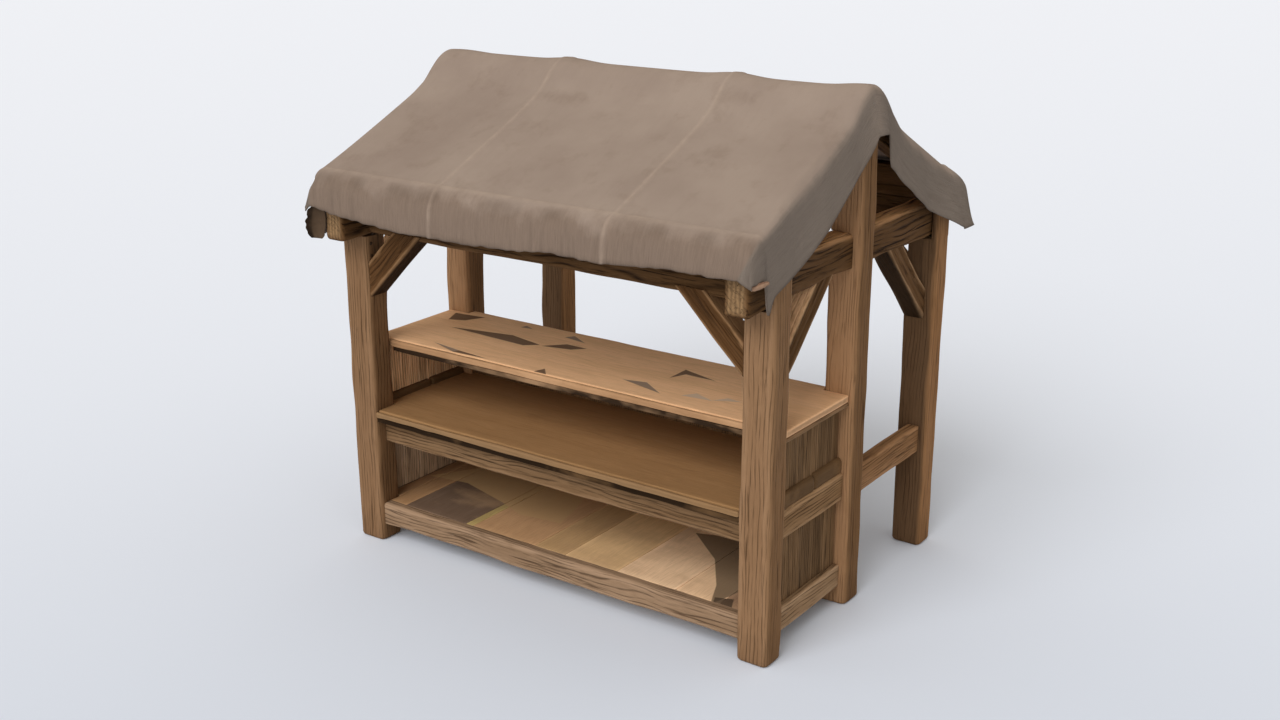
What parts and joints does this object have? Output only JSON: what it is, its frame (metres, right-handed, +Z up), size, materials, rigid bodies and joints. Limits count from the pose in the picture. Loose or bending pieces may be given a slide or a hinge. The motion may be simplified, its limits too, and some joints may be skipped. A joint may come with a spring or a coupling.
{
  "type": "wooden market stall",
  "caption": "Open timber-framed market stall with a shelved, boarded counter behind the front posts and a draped cloth roof over a ridge and eaves.",
  "frame": {"origin": "on the ground, under the middle of the roof's length and depth", "axes": "+X to the right along the ridge, +Y from the customers' side to the back, +Z up"},
  "size_m": [2.463, 1.93, 2.3724],
  "materials": {
    "posts": "weathered, oiled",
    "beams": "weathered, dark streaks along the grain",
    "boards": "worn smooth",
    "panels": "rough sawn, greyed",
    "canvas": "matt woven canvas"
  },
  "bodies": {
    "root": {"front_left_post": "posts", "front_right_post": "posts", "king_left_post": "posts", "king_right_post": "posts", "rear_left_post": "posts", "rear_right_post": "posts", "left_tie_beam": "beams", "right_tie_beam": "beams", "front_plate": "beams", "rear_plate": "beams", "front_left_brace": "beams", "front_right_brace": "beams", "rear_left_brace": "beams", "rear_right_brace": "beams", "left_front_tie_brace": "beams", "right_front_tie_brace": "beams", "left_rear_tie_brace": "beams", "right_rear_tie_brace": "beams", "ridge_beam": "beams", "front_eave_beam": "beams", "rear_eave_beam": "beams", "left_gable_rafters": "beams", "left_inner_rafters": "beams", "right_inner_rafters": "beams", "right_gable_rafters": "beams", "front_bottom_rail": "beams", "back_bottom_rail": "beams", "left_bottom_rail": "beams", "right_bottom_rail": "beams", "front_middle_rail": "beams", "back_middle_rail": "beams", "left_middle_rail": "beams", "right_middle_rail": "beams", "left_rear_rail": "beams", "right_rear_rail": "beams", "bottom_shelf": "boards", "middle_shelf": "boards", "counter_top": "boards", "counter_bearers": "boards", "left_lower_panel": "panels", "left_upper_panel": "panels", "right_lower_panel": "panels", "right_upper_panel": "panels", "back_panels": "panels", "canopy": "canvas"}
  },
  "joints": []
}
